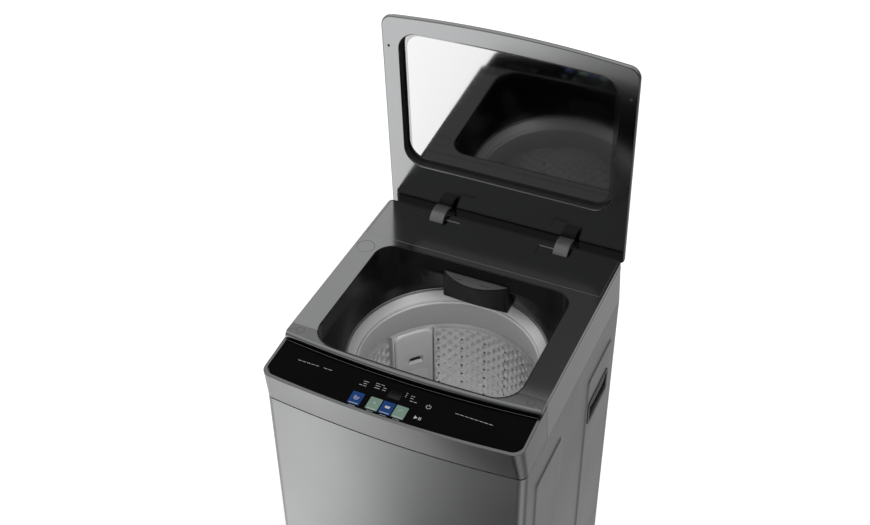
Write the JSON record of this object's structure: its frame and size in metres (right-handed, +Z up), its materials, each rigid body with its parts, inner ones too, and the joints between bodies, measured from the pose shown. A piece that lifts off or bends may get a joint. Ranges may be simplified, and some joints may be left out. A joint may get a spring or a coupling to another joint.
{
  "type": "top load washing machine",
  "caption": "Top-loading washing machine, lid open: steel cabinet, moulded top with bowed control panel, smoked lid, hung tub, spinning basket.",
  "frame": {"origin": "on the floor under the middle of the machine's overall box, lid open", "axes": "+X to the right seen from the front, +Y to the back, +Z up"},
  "size_m": [0.6104, 0.6809, 1.5017],
  "materials": {
    "cabinet_paint": "satin metallic",
    "zinc_steel": "galvanised",
    "screw_steel": "bright steel",
    "dark_plastic": "moulded, matt",
    "rubber": "matt",
    "black_plastic": "fine texture",
    "cover_paint": "metallic lacquer, glossy",
    "fascia_paint": "metallic lacquer",
    "lid_paint": "metallic lacquer, glossy",
    "black_glass": "mirror gloss",
    "blue_key": "gloss",
    "green_key": "gloss",
    "display": "gloss",
    "white_plastic": "moulded",
    "circuit": "solder mask",
    "basin_black": "gloss",
    "dispenser_grey": "semi-gloss",
    "hose_black": "matt",
    "hinge_grey": "satin",
    "smoked_glass": "smoked, polished",
    "tub_plastic": "moulded",
    "spring_steel": "drawn wire",
    "cast_metal": "die cast",
    "copper": "enamelled wire on steel",
    "stainless": "stainless, pressed",
    "ring_plastic": "satin grey",
    "filter_grey": "satin grey",
    "pulsator_grey": "satin grey"
  },
  "bodies": {
    "cabinet": {"cabinet_shell": "cabinet_paint", "rear_panel": "zinc_steel", "panel_screws": "screw_steel", "base_frame": "dark_plastic", "fixed_feet": "rubber", "carry_handle_right": "black_plastic", "carry_handle_left": "black_plastic", "top_cover": "cover_paint", "rear_deck_cover": "cover_paint", "deck_plug": "cover_paint", "screw_caps": "cover_paint", "control_bezel": "fascia_paint", "control_glass": "black_glass", "touch_keys_blue": "blue_key", "touch_keys_green": "green_key", "display_window": "display", "control_housing": "white_plastic", "control_board": "circuit", "basin": "basin_black", "dispenser_housing": "dark_plastic", "inlet_valve": "white_plastic", "inlet_duct": "hose_black", "hinge_housing_right": "black_plastic", "hinge_housing_left": "black_plastic", "hinge_pins": "screw_steel", "suspension_rods": "screw_steel", "rod_end_seats": "white_plastic", "suspension_springs": "spring_steel", "corner_brackets": "zinc_steel", "drain_spigot": "black_plastic", "cord_gland": "black_plastic", "motor_driver_box": "white_plastic", "pressure_switch": "white_plastic"},
    "lid": {"lid_outer_shell": "cover_paint", "lid_inner_frame": "lid_paint", "lid_glass": "smoked_glass", "lid_bumpers": "rubber", "lid_arm_right": "hinge_grey", "lid_arm_left": "hinge_grey"},
    "tub": {"outer_tub": "tub_plastic", "tub_cover": "tub_plastic", "suspension_cups": "white_plastic", "tub_bracket": "zinc_steel", "gear_case": "cast_metal", "main_bearings": "screw_steel", "tub_seal": "rubber", "motor_stator": "copper", "drain_valve": "white_plastic"},
    "basket": {"basket": "stainless", "basket_base": "white_plastic", "balance_ring": "ring_plastic", "spin_shaft": "screw_steel", "filter_frame": "ring_plastic"},
    "pulsator": {"pulsator": "pulsator_grey", "pulsator_screw": "screw_steel", "wash_shaft": "screw_steel", "motor_rotor": "cast_metal"},
    "lint_filter": {"lint_filter": "filter_grey"},
    "drawer": {"dispenser_drawer": "dispenser_grey"},
    "foot": {"adjustable_foot": "rubber"}
  },
  "joints": [
    {"name": "lid_hinge", "type": "hinge", "parent": "cabinet", "child": "lid", "pos_m": [0, 0.2985, 0.958], "axis": [1, 0, 0], "range_deg": [0, 87]},
    {"name": "tub_bounce", "type": "slide", "parent": "cabinet", "child": "tub", "axis": [0, 0, 1], "range_m": [-0.02, 0], "stiffness_N_per_m": 6000, "springref_m": 0.065, "deforming": ["suspension_springs"]},
    {"name": "basket_spin", "type": "hinge", "parent": "tub", "child": "basket", "pos_m": [0, -0.0165, 0.6], "axis": [0, 0, 1], "continuous": true},
    {"name": "pulsator_spin", "type": "hinge", "parent": "tub", "child": "pulsator", "pos_m": [0, -0.0165, 0.4], "axis": [0, 0, 1], "continuous": true},
    {"name": "filter_tilt", "type": "hinge", "parent": "basket", "child": "lint_filter", "pos_m": [-0.15505, 0.12558, 0.474], "axis": [0.6756, 0.7373, 0], "range_deg": [0, 25]},
    {"name": "drawer_slide", "type": "slide", "parent": "cabinet", "child": "drawer", "axis": [0, -1, 0], "range_m": [0, 0.07]},
    {"name": "foot_adjust", "type": "slide", "parent": "cabinet", "child": "foot", "axis": [0, 0, -1], "range_m": [0, 0.01]}
  ]
}
